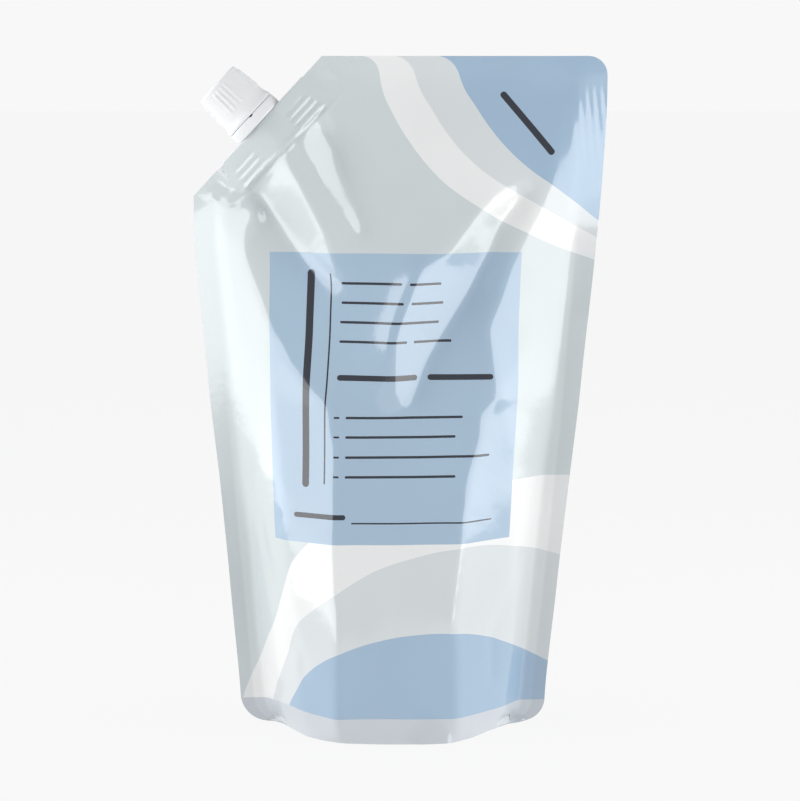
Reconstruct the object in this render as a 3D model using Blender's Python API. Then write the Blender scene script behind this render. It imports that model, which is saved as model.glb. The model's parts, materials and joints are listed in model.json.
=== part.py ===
# Stand-up refill pouch for liquid soap, with a corner spout, a screw cap and
# a tamper band.  Metres, +Z up, the wide front panel faces -Y.  The origin is
# on the surface the pouch stands on, under the middle of its width.
import math

import bpy
import bmesh
from mathutils import Matrix, Vector

MM = 0.001

# ---------------------------------------------------------------- pouch film
FILM_W = 132.0 * MM         # cut width of each film panel
HEIGHT = 214.8 * MM         # standing height
LEFT_X = -66.0 * MM         # left edge where the pouch is flat and widest
RIGHT_X = 66.0 * MM         # right edge where the pouch is flat and widest
FOOT_LEFT_X = -52.0 * MM    # left edge at the foot, drawn in by the fill
FOOT_RIGHT_X = 46.4 * MM    # right edge at the foot
FOOT_Z = 7.5 * MM           # height at which the foot widths are taken
LEFT_FULL_Z = 155.6 * MM    # the left edge is straight up above this
RIGHT_FULL_Z = 188.6 * MM   # the right edge is straight up above this
CORNER_LOW_Z = 170.2 * MM   # lower end of the slanting spout edge
CORNER_TOP_X = -24.8 * MM   # upper end of the slanting spout edge
FOOT_R = 8.5 * MM           # radius of the two bottom corners
TOP_R = 6.1 * MM            # radius of the top right corner
SEAL_T = 0.6 * MM           # thickness of the two films sealed together
SIDE_SEAL = 7.5 * MM        # width of the side seals
FOOT_SEAL = 9.0 * MM        # width of the side seals at the foot
TOP_SEAL = 7.5 * MM         # height of the top seal
RIM_T = 0.9 * MM            # thickness of the standing rim
RIM_H = 4.2 * MM            # height of the bottom gusset film at the rim
GUSSET_SAG = 1.5 * MM       # height of the gusset film at its middle
GUSSET_END = 7.0 * MM       # height that the gusset climbs at its two ends
ARC_STEPS = 18              # facets across each panel

# ------------------------------------------------------------- spout and cap
SPOUT_AT = 0.52             # place of the spout along the slanting edge
CANOE_L = 40.5 * MM         # welded base of the spout, along the edge
CANOE_D = 10.4 * MM         # depth of the welded base
CANOE_R = 6.5 * MM          # half thickness of the welded base at its middle
CANOE_TIP = 0.5 * MM        # half thickness at its two tips
GROOVE = 0.45 * MM          # depth of the weld grooves
WELD_GAP = 0.3 * MM         # clearance between the base and the film
SKIN = 0.5 * MM             # film drawn over the base
NECK_R = 6.1 * MM
BORE_R = 4.8 * MM
NECK_TOP = 17.2 * MM
BEAD_R = 7.5 * MM
BEAD_N = 2.9 * MM           # height of the retaining bead's middle
THREAD_PITCH = 2.8 * MM     # one start, so also the lead
THREAD_OUT_R = 6.9 * MM     # crest of the neck's thread
THREAD_IN_R = 6.55 * MM     # crest of the cap's thread
THREAD_TURNS = 1.6
THREAD_N = 7.7 * MM         # start height of the neck's thread
BAND_R = 9.4 * MM
BAND_LOW = 0.6 * MM
BAND_TOP = 3.75 * MM
CAP_LOW = 4.1 * MM
CAP_TOP = 18.6 * MM
CAP_SKIRT_R = 9.35 * MM
CAP_GRIP_R = 8.65 * MM      # foot of the conical grip
CAP_TOP_R = 7.7 * MM
CAP_BORE_R = 7.3 * MM
CAP_SEGMENTS = 96
RIB_H = 0.33 * MM
RIB_GROUP = (0, 3, 6, 9)    # facet numbers of the ribs in each quarter
RIB_TURN = math.radians(249.6)   # where the first rib of a group stands


# ------------------------------------------------------------------- helpers
def clear_scene():
    for obj in list(bpy.data.objects):
        bpy.data.objects.remove(obj, do_unlink=True)


def material(name, colour, roughness, coat=0.0):
    mat = bpy.data.materials.new(name)
    mat.use_nodes = True
    bsdf = mat.node_tree.nodes["Principled BSDF"]
    bsdf.inputs["Base Color"].default_value = (*colour, 1.0)
    bsdf.inputs["Roughness"].default_value = roughness
    bsdf.inputs["Metallic"].default_value = 0.0
    bsdf.inputs["Coat Weight"].default_value = coat
    return mat


def add_object(name, bm, mat=None, parent=None, smooth_deg=None):
    bmesh.ops.recalc_face_normals(bm, faces=bm.faces)
    mesh = bpy.data.meshes.new(name)
    bm.to_mesh(mesh)
    bm.free()
    if smooth_deg is not None:
        mesh.shade_smooth()
        mesh.set_sharp_from_angle(angle=math.radians(smooth_deg))
    obj = bpy.data.objects.new(name, mesh)
    bpy.context.collection.objects.link(obj)
    if mat is not None:
        obj.data.materials.append(mat)
    if parent is not None:
        obj.parent = parent
    return obj


def helper(obj):
    obj.hide_render = True
    obj.display_type = 'WIRE'
    return obj


def boolean(obj, other, operation):
    mod = obj.modifiers.new(other.name, 'BOOLEAN')
    mod.operation = operation
    mod.solver = 'EXACT'
    mod.object = other


def loft(rings, close_ends=True):
    """Skin a list of closed rings that have the same number of points."""
    bm = bmesh.new()
    rows = [[bm.verts.new(p) for p in ring] for ring in rings]
    count = len(rows[0])
    for low, high in zip(rows, rows[1:]):
        for k in range(count):
            n = (k + 1) % count
            bm.faces.new((low[k], low[n], high[n], high[k]))
    if close_ends:
        bm.faces.new(list(reversed(rows[0])))
        bm.faces.new(rows[-1])
    return bm


def turned(profile, segments, bump=None):
    """Turn a profile of (radius, height) points round the local Z axis.

    The profile is a closed loop unless it starts or ends on the axis.
    """
    bm = bmesh.new()
    rings = []
    for i, (r, h) in enumerate(profile):
        if r <= 0.0:
            rings.append([bm.verts.new((0.0, 0.0, h))])
            continue
        ring = []
        for k in range(segments):
            a = math.tau * k / segments
            rr = r + (bump(i, k) if bump else 0.0)
            ring.append(bm.verts.new((rr * math.cos(a), rr * math.sin(a), h)))
        rings.append(ring)
    pairs = list(zip(rings, rings[1:]))
    if profile[0][0] > 0.0 and profile[-1][0] > 0.0:
        pairs.append((rings[-1], rings[0]))
    for low, high in pairs:
        for k in range(segments):
            n = (k + 1) % segments
            if len(low) == 1 and len(high) == 1:
                continue
            if len(low) == 1:
                bm.faces.new((low[0], high[n], high[k]))
            elif len(high) == 1:
                bm.faces.new((low[k], low[n], high[0]))
            else:
                bm.faces.new((low[k], low[n], high[n], high[k]))
    return bm


def helix_ridge(root_r, crest_r, start, pitch, turns, root_w, crest_w,
                steps=32, lead_in=0.18):
    """A trapezoid thread ridge, right handed, tapered away at both ends."""
    total = int(round(turns * steps))
    rings = []
    for i in range(total + 1):
        t = i / steps
        fade = min(1.0, t / lead_in, (turns - t) / lead_in)
        fade = max(0.25, fade)
        a = math.tau * t
        mid = start + pitch * t
        crest = root_r + (crest_r - root_r) * fade
        ring = []
        for r, w in ((root_r, -root_w), (crest, -crest_w),
                     (crest, crest_w), (root_r, root_w)):
            ring.append((r * math.cos(a), r * math.sin(a), mid + 0.5 * w))
        rings.append(ring)
    return loft(rings)


# -------------------------------------------------------------- pouch shape
EDGE_A = Vector((LEFT_X, 0.0, CORNER_LOW_Z))
EDGE_B = Vector((CORNER_TOP_X, 0.0, HEIGHT))
EDGE_DIR = (EDGE_B - EDGE_A).normalized()
SPOUT_DIR = Vector((-EDGE_DIR.z, 0.0, EDGE_DIR.x))
SPOUT_POS = EDGE_A.lerp(EDGE_B, SPOUT_AT)
SPOUT_FRAME = Matrix((
    (EDGE_DIR.x, 0.0, SPOUT_DIR.x, SPOUT_POS.x),
    (EDGE_DIR.y, 1.0, SPOUT_DIR.y, SPOUT_POS.y),
    (EDGE_DIR.z, 0.0, SPOUT_DIR.z, SPOUT_POS.z),
    (0.0, 0.0, 0.0, 1.0)))


def corner_inset(height, radius):
    """How far a rounded corner draws in at a height above its end."""
    if height >= radius:
        return 0.0
    return radius - math.sqrt(max(0.0, radius ** 2 - (radius - height) ** 2))


def straight_left(z):
    t = min(1.0, (z - FOOT_Z) / (LEFT_FULL_Z - FOOT_Z))
    x = FOOT_LEFT_X + (LEFT_X - FOOT_LEFT_X) * t
    if z > CORNER_LOW_Z:
        x = LEFT_X + (z - CORNER_LOW_Z) * EDGE_DIR.x / EDGE_DIR.z
    return x


def straight_right(z):
    t = min(1.0, (z - FOOT_Z) / (RIGHT_FULL_Z - FOOT_Z))
    return FOOT_RIGHT_X + (RIGHT_X - FOOT_RIGHT_X) * t


def outline(z):
    left = straight_left(z) + corner_inset(z, FOOT_R)
    right = (straight_right(z) - corner_inset(z, FOOT_R)
             - corner_inset(HEIGHT - z, TOP_R))
    return left, right


def seal_width(z):
    t = max(0.0, 1.0 - z / (56.6 * MM))
    return SIDE_SEAL + (FOOT_SEAL - SIDE_SEAL) * t


def open_span(z):
    """The span between the side seals, where the panels part."""
    seal = seal_width(z)
    left = straight_left(z) + seal
    if z > CORNER_LOW_Z:
        slant = seal / abs(SPOUT_DIR.x)
        left = straight_left(z) + slant
    return left, straight_right(z) - seal


def arc_for(width, chord):
    """Half angle and radius of the arc of a given length over a chord."""
    low, high = 1e-4, 1.55
    for _ in range(60):
        mid = 0.5 * (low + high)
        if mid / math.sin(mid) < width / chord:
            low = mid
        else:
            high = mid
    half = 0.5 * (low + high)
    return half, width / (2.0 * half)


def panel_arc(z):
    """Half angle, radius and how far the arc is faded out at a height."""
    level = min(z, CORNER_LOW_Z)
    seal = seal_width(level)
    left, right = straight_left(level) + seal, straight_right(level) - seal
    half, radius = arc_for(FILM_W - 2.0 * seal, right - left)
    fade = 1.0
    if z > CORNER_LOW_Z:
        fade = max(0.0, (HEIGHT - TOP_SEAL - z)
                   / (HEIGHT - TOP_SEAL - CORNER_LOW_Z))
    return half, radius, fade


def panel_points(z):
    """Front panel from left to right at a height: (x, half depth) pairs."""
    left, right = outline(z)
    in_left, in_right = open_span(z)
    in_left = max(in_left, left + 0.38 * MM)
    in_right = min(in_right, right - 0.38 * MM)
    flat = SEAL_T / 2.0
    half, radius, fade = panel_arc(z)
    mid, span = 0.5 * (in_left + in_right), 0.5 * (in_right - in_left)
    points = [(left, flat)]
    for k in range(ARC_STEPS + 1):
        a = -half + 2.0 * half * k / ARC_STEPS
        x = mid + span * math.sin(a) / math.sin(half)
        depth = radius * (math.cos(a) - math.cos(half)) * fade
        points.append((x, flat + depth))
    points.append((right, flat))
    return points


def pouch_levels():
    low = [0.0, 1.3, 3.4, 5.8, 8.5, 15.0, 24.5, 36.0, 49.0]
    low = [v * MM for v in low]
    steps = 9
    first, last = low[-1], CORNER_LOW_Z
    body = [first + (last - first) * (k + 1) / steps for k in range(steps)]
    seal_z = HEIGHT - TOP_SEAL
    upper = [last + (seal_z - last) * (k + 1) / 5 for k in range(5)]
    top = [HEIGHT - TOP_R * (1.0 - math.sin(math.radians(v)))
           for v in (0.0, 30.0, 60.0)] + [HEIGHT]
    return low + body + upper + [v for v in top if v > seal_z + 0.47 * MM]


def pouch_body():
    rings = []
    for z in pouch_levels():
        pts = panel_points(z)
        ring = [(x, -d, z) for x, d in pts]
        ring += [(x, d, z) for x, d in reversed(pts)]
        rings.append(ring)
    return loft(rings)


def gusset_recess():
    """The space under the bottom gusset, inside the standing rim."""
    pts = [(x, d - RIM_T) for x, d in panel_points(0.0) if d - RIM_T > 1.41 * MM]
    left, right = pts[0][0] + 1.41 * MM, pts[-1][0] - 1.41 * MM
    mid, span = 0.5 * (left + right), 0.5 * (right - left)
    across = 8
    rings = []
    for k, (x, d) in enumerate(pts):
        x = min(max(x, left), right)
        xi = (x - mid) / span
        ring = [(x, d, -4.71 * MM), (x, -d, -4.71 * MM)]
        for j in range(across + 1):
            eta = -1.0 + 2.0 * j / across
            z = (GUSSET_SAG + (RIM_H - GUSSET_SAG) * eta ** 2
                 + (GUSSET_END - GUSSET_SAG) * xi ** 4)
            ring.append((x, eta * d, z))
        rings.append(ring)
    return loft(rings)


# -------------------------------------------------------------- spout shape
def canoe_half(e, grow=0.0):
    """Half thickness of the welded base at a place along the edge."""
    reach = CANOE_L / 2.0 + grow
    c = math.cos(0.5 * math.pi * min(1.0, abs(e) / reach))
    return CANOE_TIP + grow + (CANOE_R - CANOE_TIP) * c ** 1.35


def canoe_ring(n, grow=0.0, groove=0.0, shrink=1.0, steps=22):
    reach = (CANOE_L / 2.0 + grow) * shrink
    front, back = [], []
    for k in range(steps + 1):
        e = -reach * math.cos(math.pi * k / steps)
        half = canoe_half(e / shrink, grow) * shrink
        if groove and 7.17 * MM < abs(e) < reach - 1.13 * MM:
            half = max(0.4 * CANOE_TIP, half - groove)
        front.append((e, -half, n))
        back.append((e, half, n))
    return front + list(reversed(back))


def canoe():
    """Boat shaped base whose sides carry four weld grooves."""
    rings = [canoe_ring(-CANOE_D)]
    for k in range(4):
        mid = -CANOE_D + 1.79 * MM + 2.26 * MM * k
        rings.append(canoe_ring(mid - 0.71 * MM))
        rings.append(canoe_ring(mid - 0.42 * MM, groove=GROOVE))
        rings.append(canoe_ring(mid + 0.42 * MM, groove=GROOVE))
        rings.append(canoe_ring(mid + 0.71 * MM))
    rings.append(canoe_ring(0.0))
    return loft(rings)


def film_collar():
    """The film where the welded base holds the two panels apart."""
    grow = WELD_GAP + SKIN
    rings = []
    for n, shrink in ((-38.0, 0.42), (-28.5, 0.66), (-19.0, 0.86),
                      (-11.8, 0.985), (-9.5, 1.0), (0.1, 1.0)):
        rings.append(canoe_ring(n * MM, grow=grow, shrink=shrink))
    return loft(rings)


def weld_pocket():
    return loft([canoe_ring(-CANOE_D - WELD_GAP, grow=WELD_GAP),
                 canoe_ring(1.89 * MM, grow=WELD_GAP)])


def neck():
    b = BEAD_N
    return turned([
        (0.0, -3.77 * MM), (NECK_R, -3.77 * MM), (NECK_R, b - 0.94 * MM),
        (BEAD_R, b - 0.38 * MM), (BEAD_R, b + 0.38 * MM),
        (NECK_R, b + 1.04 * MM), (NECK_R, NECK_TOP - 0.57 * MM),
        (NECK_R - 0.38 * MM, NECK_TOP), (0.0, NECK_TOP)], 64)


def bore():
    return turned([(0.0, -CANOE_D - 1.89 * MM), (BORE_R, -CANOE_D - 1.89 * MM),
                   (BORE_R, NECK_TOP + 1.89 * MM), (0.0, NECK_TOP + 1.89 * MM)],
                  48)


def band():
    return turned([
        (BAND_R - 0.28 * MM, BAND_LOW), (BAND_R, BAND_LOW + 0.28 * MM),
        (BAND_R, BAND_TOP - 0.38 * MM), (BAND_R - 0.38 * MM, BAND_TOP),
        (7.87 * MM, BAND_TOP), (7.87 * MM, 2.36 * MM),
        (7.17 * MM, 1.98 * MM), (7.17 * MM, BAND_LOW)], 64)


def cap():
    ribbed = {5, 6}

    def bump(i, k):
        if i in ribbed and (k % (CAP_SEGMENTS // 4)) in RIB_GROUP:
            return RIB_H
        return 0.0

    def grip(n):
        t = (n - 7.83 * MM) / (CAP_TOP - 7.83 * MM)
        return CAP_GRIP_R + (CAP_TOP_R - CAP_GRIP_R) * t

    profile = [
        (CAP_SKIRT_R, CAP_LOW), (CAP_SKIRT_R, 4.81 * MM), (8.82 * MM, 6.6 * MM),
        (CAP_GRIP_R, 7.83 * MM),
        (grip(8.49 * MM), 8.49 * MM), (grip(9.05 * MM), 9.05 * MM),
        (grip(16.59 * MM), 16.59 * MM), (grip(17.16 * MM), 17.16 * MM),
        (grip(17.82 * MM), 17.82 * MM), (CAP_TOP_R - 0.47 * MM, CAP_TOP),
        (0.0, CAP_TOP)]
    inside = [
        (0.0, 17.54 * MM), (3.39 * MM, 17.54 * MM), (3.39 * MM, 16.12 * MM),
        (4.24 * MM, 16.12 * MM), (4.24 * MM, 17.54 * MM),
        (CAP_BORE_R, 17.54 * MM), (CAP_BORE_R, 6.32 * MM),
        (8.11 * MM, 5.56 * MM), (8.11 * MM, CAP_LOW)]
    # the outer shell runs up to the axis and the inner one runs down from it
    bm = bmesh.new()
    loops = []
    for part, turned_bump in ((profile, bump), (inside, None)):
        rings = []
        for i, (r, h) in enumerate(part):
            if r <= 0.0:
                rings.append([bm.verts.new((0.0, 0.0, h))])
                continue
            ring = []
            for k in range(CAP_SEGMENTS):
                a = math.tau * k / CAP_SEGMENTS + RIB_TURN
                rr = r + (turned_bump(i, k) if turned_bump else 0.0)
                ring.append(bm.verts.new((rr * math.cos(a),
                                          rr * math.sin(a), h)))
            rings.append(ring)
        loops.append(rings)
        for low, high in zip(rings, rings[1:]):
            for k in range(CAP_SEGMENTS):
                n = (k + 1) % CAP_SEGMENTS
                if len(low) == 1:
                    bm.faces.new((low[0], high[n], high[k]))
                elif len(high) == 1:
                    bm.faces.new((low[k], low[n], high[0]))
                else:
                    bm.faces.new((low[k], low[n], high[n], high[k]))
    outer, inner = loops[0][0], loops[1][-1]
    for k in range(CAP_SEGMENTS):
        n = (k + 1) % CAP_SEGMENTS
        bm.faces.new((inner[k], inner[n], outer[n], outer[k]))
    return bm


# ---------------------------------------------------------------- the model
def build():
    clear_scene()
    film = material("film", (0.52, 0.60, 0.64), 0.16, 0.4)
    natural = material("natural_plastic", (0.80, 0.82, 0.83), 0.35)
    white = material("white_plastic", (0.86, 0.87, 0.87), 0.32)
    band_white = material("band_plastic", (0.84, 0.85, 0.86), 0.34)

    axis = bpy.data.objects.new("spout_axis", None)
    bpy.context.collection.objects.link(axis)
    axis.matrix_world = SPOUT_FRAME

    pouch = add_object("pouch", pouch_body(), film, smooth_deg=40)
    collar = helper(add_object("film_collar", film_collar(), parent=axis))
    recess = helper(add_object("gusset_recess", gusset_recess()))
    pocket = helper(add_object("weld_pocket", weld_pocket(), parent=axis))
    boolean(pouch, collar, 'UNION')
    boolean(pouch, recess, 'DIFFERENCE')
    boolean(pouch, pocket, 'DIFFERENCE')

    spout = add_object("spout", canoe(), natural, axis, smooth_deg=30)
    neck_tool = helper(add_object("neck", neck(), parent=axis))
    neck_thread = helper(add_object("neck_thread", helix_ridge(
        NECK_R - 0.38 * MM, THREAD_OUT_R, THREAD_N, THREAD_PITCH,
        THREAD_TURNS, 1.41 * MM, 0.66 * MM), parent=axis))
    bore_tool = helper(add_object("bore", bore(), parent=axis))
    boolean(spout, neck_tool, 'UNION')
    boolean(spout, neck_thread, 'UNION')
    boolean(spout, bore_tool, 'DIFFERENCE')

    add_object("tamper_band", band(), band_white, axis, smooth_deg=30)

    cap_body = add_object("cap", cap(), white, axis, smooth_deg=25)
    cap_thread = helper(add_object("cap_thread", helix_ridge(
        CAP_BORE_R + 0.33 * MM, THREAD_IN_R,
        THREAD_N - THREAD_PITCH / 2.0, THREAD_PITCH,
        THREAD_TURNS, 1.23 * MM, 0.57 * MM), parent=axis))
    boolean(cap_body, cap_thread, 'UNION')


build()
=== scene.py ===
import json
import math

import bpy
import bmesh
import numpy as np
from mathutils import Matrix, Vector


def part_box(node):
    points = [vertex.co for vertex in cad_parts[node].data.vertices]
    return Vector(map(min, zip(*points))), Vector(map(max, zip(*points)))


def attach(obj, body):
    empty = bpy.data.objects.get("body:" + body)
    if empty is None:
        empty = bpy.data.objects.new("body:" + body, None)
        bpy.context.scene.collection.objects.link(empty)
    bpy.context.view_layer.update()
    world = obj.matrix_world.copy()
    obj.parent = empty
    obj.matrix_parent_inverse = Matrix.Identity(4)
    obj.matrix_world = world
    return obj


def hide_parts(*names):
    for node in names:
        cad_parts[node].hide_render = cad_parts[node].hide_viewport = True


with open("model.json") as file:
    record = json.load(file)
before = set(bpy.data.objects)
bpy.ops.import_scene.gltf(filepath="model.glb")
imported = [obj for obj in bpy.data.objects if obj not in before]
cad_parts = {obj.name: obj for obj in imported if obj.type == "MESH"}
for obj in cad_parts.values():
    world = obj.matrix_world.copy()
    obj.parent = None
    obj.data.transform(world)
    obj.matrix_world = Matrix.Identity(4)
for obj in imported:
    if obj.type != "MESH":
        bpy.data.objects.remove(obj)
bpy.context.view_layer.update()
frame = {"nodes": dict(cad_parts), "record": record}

# Every length below is in "pack millimetres": the pack is 140 wide where it is
# flat and 227.8 tall, and U turns them into the frame's metres.
PACK_H = 227.8
lo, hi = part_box("pouch")
U = (hi[2] - lo[2]) / PACK_H

# [shape]
# ------------------------------------------------------------ pouch outline
CUT_A = np.array([-70.0, 180.5])       # lower end of the slanting spout edge
CUT_B = np.array([-26.3, 227.8])       # upper end
E2D = (CUT_B - CUT_A) / np.linalg.norm(CUT_B - CUT_A)
N2D = np.array([-E2D[1], E2D[0]])
P2D = CUT_A + 0.52 * (CUT_B - CUT_A)
LEFT = [(0, -54.3), (14, -55.1), (28, -56.4), (42, -57.7), (56, -58.9),
        (70, -60.3), (84, -61.7), (97.5, -63.3), (111, -64.9), (125, -66.1),
        (139, -67.4), (152, -68.8), (163, -69.8), (172, -70.0), (228, -70.0)]
RIGHT = [(0, 49.3), (14, 50.1), (28, 51.6), (42, 53.2), (56, 54.6),
         (70, 56.2), (84, 57.8), (97.5, 59.4), (111, 61.0), (125, 62.3),
         (139, 63.8), (152, 65.3), (166, 66.7), (180, 68.2), (193, 69.1),
         (203, 69.7), (213, 70.0), (228, 70.0)]
SEAL = 8.0
TOP_SEAL = 8.0
FOOT_R = 9.0
TOP_R = 6.5
FILM_T = 0.34                          # the two films sealed together


def smooth_line(table):
    z = np.arange(-30.0, 260.0, 0.5)
    zs, xs = zip(*table)
    x = np.interp(z, zs, xs)
    first = (xs[1] - xs[0]) / (zs[1] - zs[0])
    x = np.where(z < zs[0], xs[0] + first * (z - zs[0]), x)
    k = np.exp(-0.5 * (np.arange(-24, 25) * 0.5 / 4.0) ** 2)
    x = np.convolve(x, k / k.sum(), mode="same")
    return z, x


LEFT_LINE = smooth_line(LEFT)
RIGHT_LINE = smooth_line(RIGHT)


def corner(h, r):
    h = np.clip(h, 0.0, r)
    return r - np.sqrt(np.maximum(0.0, r * r - (r - h) ** 2))


def left_x(z):
    x = np.interp(z, *LEFT_LINE) + corner(z, FOOT_R)
    t = (np.asarray(z) - CUT_A[1]) / (CUT_B[1] - CUT_A[1])
    return np.where(t > 0, np.maximum(x, CUT_A[0] + t * (CUT_B[0] - CUT_A[0])), x)


def right_x(z):
    return (np.interp(z, *RIGHT_LINE) - corner(z, 7.5)
            - corner(PACK_H - np.asarray(z), TOP_R))


DEPTH_Z = [0, 8, 42, 83, 125, 152, 180, 200, 219.8, 228]
DEPTH_D = [36.4, 35.8, 33.5, 29.0, 22.4, 15.9, 8.6, 5.0, 0.0, 0.0]
RIM = [(-45.9, 0.2), (-44.9, 0.3), (-42.0, 2.5), (-38.7, 7.8), (-31.4, 24.5),
       (-25.9, 30.5), (-18.1, 34.9), (-6.3, 36.4), (9.0, 36.4), (16.7, 34.9),
       (24.6, 26.0), (31.0, 13.9), (36.7, 7.8), (41.0, 3.4), (43.1, 0.3)]

# ------------------------------------------------- how the filled film folds
STEP = 0.8
GX = np.arange(-72.0, 72.01, STEP)
GZ = np.arange(0.0, 228.01, STEP)
XX, ZZ = np.meshgrid(GX, GZ)
EE = (XX - P2D[0]) * E2D[0] + (ZZ - P2D[1]) * E2D[1]
NN = (XX - P2D[0]) * N2D[0] + (ZZ - P2D[1]) * N2D[1]


def inside(poly, x=None, z=None):
    x = XX if x is None else x
    z = ZZ if z is None else z
    hit = np.zeros(x.shape, bool)
    n = len(poly)
    for i in range(n):
        x0, z0 = poly[i]
        x1, z1 = poly[(i + 1) % n]
        if z0 == z1:
            continue
        cross = (z0 > z) != (z1 > z)
        hit ^= cross & (x < (x1 - x0) * (z - z0) / (z1 - z0) + x0)
    return hit


def blur(a, sigma):
    n = max(1, int(math.ceil(3 * sigma / STEP)))
    k = np.exp(-0.5 * (np.arange(-n, n + 1) * STEP / sigma) ** 2)
    k /= k.sum()
    for axis in (0, 1):
        pad = [(0, 0), (0, 0)]
        pad[axis] = (n, n)
        b = np.pad(a, pad, mode="edge")
        out = np.zeros_like(a)
        for i, w in enumerate(k):
            out += w * (b[i:i + a.shape[0], :] if axis == 0
                        else b[:, i:i + a.shape[1]])
        a = out
    return a


def table(z, pairs):
    zs, vs = zip(*pairs)
    return np.interp(z, zs, vs)


L_INNER = [(-62.0, 162.5), (-60.1, 145.5), (-59.5, 137.0), (-57.8, 125.7),
           (-56.2, 111.4), (-54.7, 87.2), (-52.3, 72.9), (-50.3, 59.9),
           (-50.0, 50.4), (-49.7, 44.8), (-47.5, 20.0), (-46.5, 6.0)]
L_BRIGHT = [(-69.7, 176.8), (-54.0, 178.6), (-49.9, 178.0), (-48.9, 174.0),
            (-51.3, 169.6), (-53.0, 165.2), (-53.0, 160.5), (-50.6, 155.2),
            (-48.2, 148.9), (-46.2, 144.6), (-44.5, 139.7)]
L_LOW = [(-44.5, 131.3), (-41.1, 99.5), (-38.8, 69.2), (-36.4, 45.7),
         (-33.8, 11.7), (-31.4, 0.0)]
F_TOP = [(-44.5, 139.7), (-41.0, 134.1), (-37.9, 129.3), (-36.2, 124.4),
         (-30.1, 117.7), (-23.4, 113.0)]
F_RIGHT = [(-22.4, 100.8), (-22.4, 69.2), (-21.1, 34.2), (-21.1, 7.2),
           (-20.0, 0.0)]
DC_RIGHT = [(26.1, 108.7), (27.1, 101.9), (25.1, 95.4), (22.7, 88.9),
            (21.7, 79.0), (21.1, 67.3), (20.1, 59.7), (19.2, 51.7),
            (18.1, 40.7), (18.8, 27.1), (19.1, 13.4), (18.5, 3.4), (18.5, 0.0)]
C_EDGE = [(50.6, 184.0), (55.0, 190.7), (59.9, 183.9), (57.5, 161.6),
          (56.5, 131.8), (54.0, 111.3), (51.0, 97.8), (48.6, 80.0),
          (48.0, 69.9), (46.6, 58.4), (45.3, 46.6), (44.0, 38.0),
          (42.2, 29.6), (41.2, 20.9), (40.6, 12.0), (40.0, 0.0)]
C_LEFT = [(33.0, 0.0), (38.6, 29.8), (38.1, 99.3), (33.6, 113.2),
          (29.2, 136.8), (33.6, 146.6), (38.0, 159.8), (45.5, 174.7)]
A_FACE = [(38.0, 184.2), (33.6, 182.2), (26.9, 176.6), (15.8, 162.5),
          (6.7, 157.9), (3.3, 149.4), (-2.3, 133.9), (-2.3, 114.2),
          (3.3, 110.3), (8.7, 125.1), (15.7, 137.1), (23.5, 149.2),
          (30.2, 162.3), (33.6, 170.9), (39.4, 177.5), (42.1, 182.4)]
E1_FACE = [(-48.2, 183.1), (-43.1, 175.8), (-38.7, 169.9), (-36.3, 165.6),
           (-32.9, 161.0), (-29.2, 156.1), (-21.8, 150.9), (-21.8, 155.9),
           (-24.5, 163.4), (-25.8, 169.0), (-29.6, 176.6), (-33.0, 183.2),
           (-36.3, 189.2), (-39.4, 194.9), (-43.8, 189.1)]
E2_FACE = [(-34.7, 202.2), (-32.0, 196.6), (-27.9, 188.9), (-24.5, 183.9),
           (-21.8, 179.9), (-18.5, 174.3), (-15.8, 170.1), (-12.4, 165.8),
           (-12.4, 171.7), (-18.5, 185.3), (-22.5, 196.6), (-26.2, 202.6),
           (-26.9, 209.2)]
LEAF = [(-19.2, 210.9), (-12.5, 218.5), (-10.5, 214.2), (-17.0, 205.0)]


def canoe_half(e, half=21.5, mid=7.25, tip=0.75):
    t = np.clip(np.abs(e) / half, 0.0, 1.0)
    return tip + (mid - tip) * (1 - t ** 2) * (1 - 0.25 * t ** 2)


def base_lens():
    """The depth that an evenly filled pouch would have."""
    xl = left_x(ZZ) + SEAL
    xr = right_x(ZZ) - SEAL
    mid = 0.5 * (xl + xr)
    half = np.maximum(1.0, 0.5 * (xr - xl))
    t = np.clip((XX - mid) / half, -1, 1)
    depth = np.interp(ZZ, DEPTH_Z, DEPTH_D)
    sharp = 2.0 + 1.2 * np.clip((60 - ZZ) / 60, 0, 1)
    h = depth * (1 - np.abs(t) ** sharp)
    near = np.clip(-NN / 60.0, 0, 1)
    return h * (1 - (1 - near) ** 3)


def solve(targets, data, lam, fixed, value, rounds=700):
    """Depth whose slopes come closest to the wanted ones."""
    p, wp, q, wq = targets
    wx = 0.5 * (wp[:, 1:] + wp[:, :-1])
    wz = 0.5 * (wq[1:, :] + wq[:-1, :])
    px = 0.5 * (p[:, 1:] + p[:, :-1])
    qz = 0.5 * (q[1:, :] + q[:-1, :])

    def spread(gx, gz):
        out = np.zeros_like(p)
        out[:, :-1] -= gx
        out[:, 1:] += gx
        out[:-1, :] -= gz
        out[1:, :] += gz
        return out

    def apply(h):
        gx = wx * (h[:, 1:] - h[:, :-1])
        gz = wz * (h[1:, :] - h[:-1, :])
        out = spread(gx, gz) + lam * STEP * STEP * h
        out[fixed] = 0.0
        return out

    h = np.where(fixed, value, data)
    rhs = spread(wx * px * STEP, wz * qz * STEP) + lam * STEP * STEP * data
    gx = wx * (h[:, 1:] - h[:, :-1])
    gz = wz * (h[1:, :] - h[:-1, :])
    r = rhs - (spread(gx, gz) + lam * STEP * STEP * h)
    r[fixed] = 0.0
    d = r.copy()
    rr = float((r * r).sum())
    stop = rr * 1e-9
    for _ in range(rounds):
        ad = apply(d)
        a = rr / float((d * ad).sum())
        h = h + a * d
        r = r - a * ad
        new = float((r * r).sum())
        if new < stop:
            break
        d = r + (new / rr) * d
        rr = new
    return h


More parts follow.
